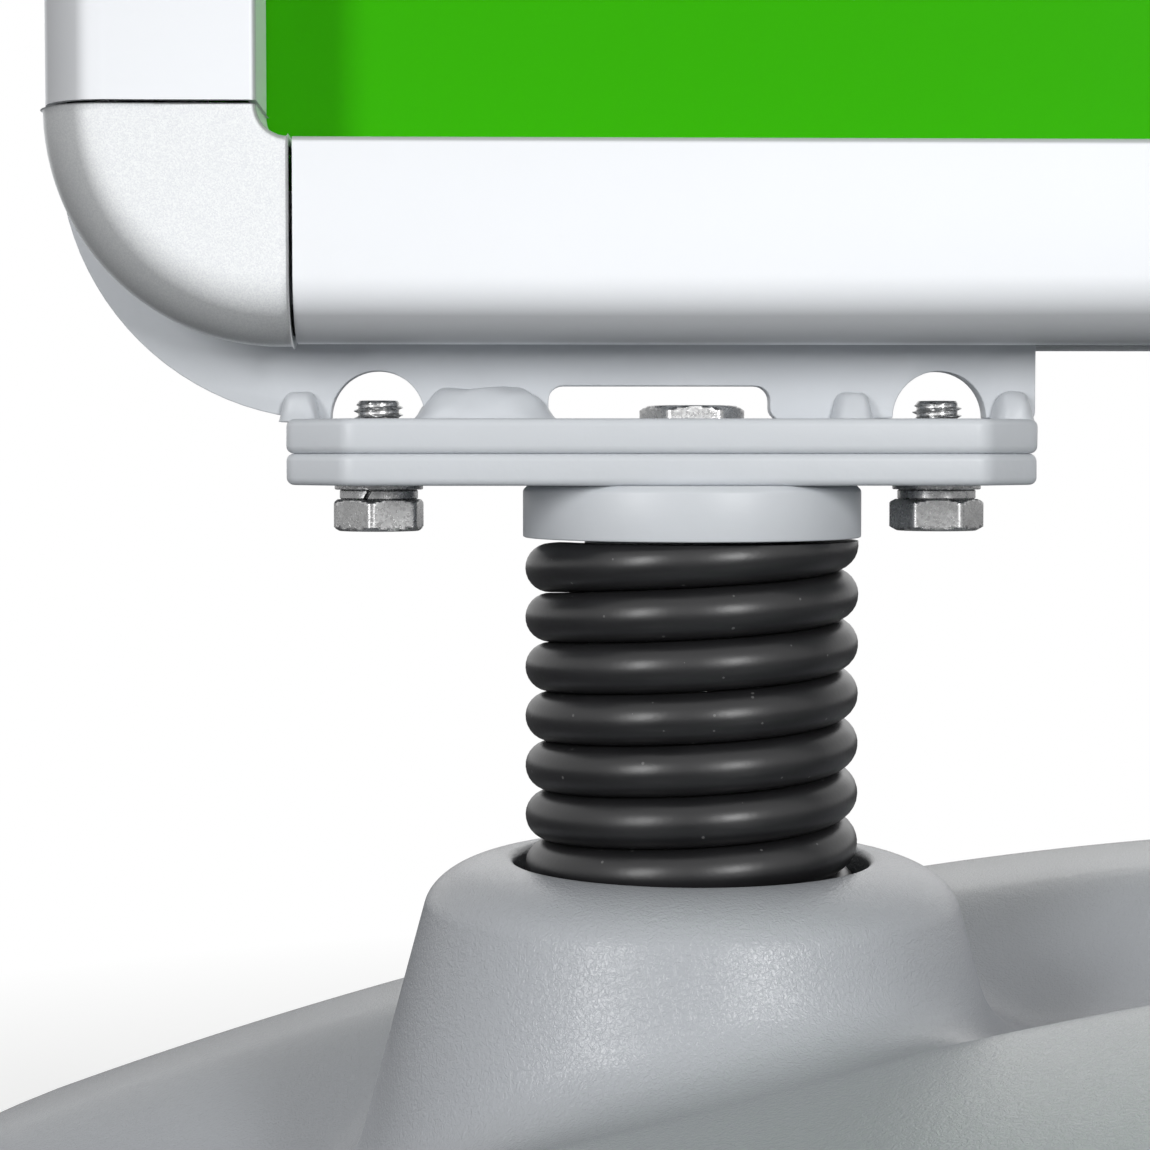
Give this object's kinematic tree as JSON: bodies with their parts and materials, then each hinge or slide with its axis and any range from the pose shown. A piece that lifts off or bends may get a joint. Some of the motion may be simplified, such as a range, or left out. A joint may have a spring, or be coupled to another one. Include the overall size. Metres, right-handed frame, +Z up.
{
  "type": "sidewalk sign",
  "caption": "Double-sided pavement sign with snap-open poster rails, standing on coil springs over a hollow grey ballast base.",
  "frame": {"origin": "centre of the footprint, on the ground plane under the rubber feet", "axes": "+Z up, X across the poster faces from left to right, -Y out of the front face"},
  "size_m": [0.8, 0.48, 1.1737],
  "materials": {
    "moulded_tank": "grey moulded polyethylene with an orange-peel grain",
    "black_rubber": "black moulded rubber",
    "wheel_plastic": "black moulded plastic",
    "plug_plastic": "black moulded plastic",
    "zinc_steel": "bright zinc plate with a fine grain",
    "spring_black": "satin black coating",
    "bracket_grey": "light grey powder coat",
    "silver_rail": "satin silver anodised",
    "silver_corner": "fine metallic silver paint",
    "white_panel": "white plastic sheet",
    "green_poster": "plain green poster",
    "clear_sheet": "clear anti-glare sheet",
    "spring_steel": "bare spring steel"
  },
  "bodies": {
    "base": {"base_tank": "moulded_tank", "rubber_feet": "black_rubber", "lower_spring_cap_left": "bracket_grey", "lower_spring_cap_right": "bracket_grey", "anchor_bolts": "zinc_steel", "anchor_washers": "zinc_steel", "spring_left": "spring_black", "spring_right": "spring_black"},
    "sign": {"upper_spring_cap_left": "bracket_grey", "upper_spring_cap_right": "bracket_grey", "flange_plate_left": "bracket_grey", "flange_plate_right": "bracket_grey", "centre_bolts": "zinc_steel", "centre_washers": "zinc_steel", "foot_plate_left": "bracket_grey", "foot_plate_right": "bracket_grey", "bracket_bar_left": "bracket_grey", "bracket_bar_right": "bracket_grey", "clamp_bolts": "zinc_steel", "clamp_spring_washers": "zinc_steel", "clamp_flat_washers": "zinc_steel", "front_profile_left": "silver_rail", "front_profile_right": "silver_rail", "front_profile_top": "silver_rail", "front_profile_bottom": "silver_rail", "rear_profile_left": "silver_rail", "rear_profile_right": "silver_rail", "rear_profile_top": "silver_rail", "rear_profile_bottom": "silver_rail", "front_corner_lower_left": "silver_corner", "front_corner_lower_right": "silver_corner", "front_corner_upper_left": "silver_corner", "front_corner_upper_right": "silver_corner", "rear_corner_lower_left": "silver_corner", "rear_corner_lower_right": "silver_corner", "rear_corner_upper_left": "silver_corner", "rear_corner_upper_right": "silver_corner", "front_back_panel": "white_panel", "rear_back_panel": "white_panel", "front_poster": "green_poster", "rear_poster": "green_poster", "front_cover_sheet": "clear_sheet", "rear_cover_sheet": "clear_sheet", "top_spacers": "bracket_grey", "frame_rivets": "zinc_steel", "front_snap_springs": "spring_steel", "rear_snap_springs": "spring_steel"},
    "wheel_left": {"wheel_left": "wheel_plastic"},
    "wheel_right": {"wheel_right": "wheel_plastic"},
    "fill_plug": {"fill_plug": "plug_plastic"},
    "front_rail_left": {"front_rail_left": "silver_rail"},
    "front_rail_right": {"front_rail_right": "silver_rail"},
    "front_rail_top": {"front_rail_top": "silver_rail"},
    "front_rail_bottom": {"front_rail_bottom": "silver_rail"},
    "rear_rail_left": {"rear_rail_left": "silver_rail"},
    "rear_rail_right": {"rear_rail_right": "silver_rail"},
    "rear_rail_top": {"rear_rail_top": "silver_rail"},
    "rear_rail_bottom": {"rear_rail_bottom": "silver_rail"}
  },
  "joints": [
    {"name": "lean", "type": "hinge", "parent": "base", "child": "sign", "pos_m": [0, 0, 0.1817], "axis": [1, 0, 0], "range_deg": [-20, 20], "stiffness_Nm_per_rad": 560, "deforming": ["spring_left", "spring_right"]},
    {"name": "front_left_snap", "type": "hinge", "parent": "sign", "child": "front_rail_left", "pos_m": [-0.3146, -0.016, 0.7221], "axis": [0, 0, -1], "range_deg": [0, 95]},
    {"name": "front_right_snap", "type": "hinge", "parent": "sign", "child": "front_rail_right", "pos_m": [0.3146, -0.016, 0.7221], "axis": [0, 0, 1], "range_deg": [0, 95]},
    {"name": "front_top_snap", "type": "hinge", "parent": "sign", "child": "front_rail_top", "pos_m": [0, -0.016, 1.1602], "axis": [-1, 0, 0], "range_deg": [0, 95]},
    {"name": "front_bottom_snap", "type": "hinge", "parent": "sign", "child": "front_rail_bottom", "pos_m": [0, -0.016, 0.284], "axis": [1, 0, 0], "range_deg": [0, 95]},
    {"name": "rear_left_snap", "type": "hinge", "parent": "sign", "child": "rear_rail_left", "pos_m": [-0.3146, 0.016, 0.7221], "axis": [0, 0, 1], "range_deg": [0, 95]},
    {"name": "rear_right_snap", "type": "hinge", "parent": "sign", "child": "rear_rail_right", "pos_m": [0.3146, 0.016, 0.7221], "axis": [0, 0, -1], "range_deg": [0, 95]},
    {"name": "rear_top_snap", "type": "hinge", "parent": "sign", "child": "rear_rail_top", "pos_m": [0, 0.016, 1.1602], "axis": [1, 0, 0], "range_deg": [0, 95]},
    {"name": "rear_bottom_snap", "type": "hinge", "parent": "sign", "child": "rear_rail_bottom", "pos_m": [0, 0.016, 0.284], "axis": [-1, 0, 0], "range_deg": [0, 95]},
    {"name": "wheel_left_spin", "type": "hinge", "parent": "base", "child": "wheel_left", "pos_m": [-0.11, 0.205, 0.037], "axis": [1, 0, 0], "continuous": true},
    {"name": "wheel_right_spin", "type": "hinge", "parent": "base", "child": "wheel_right", "pos_m": [0.11, 0.205, 0.037], "axis": [1, 0, 0], "continuous": true},
    {"name": "fill_plug_lift", "type": "slide", "parent": "base", "child": "fill_plug", "axis": [0, 0, 1], "range_m": [0, 0.04]}
  ]
}
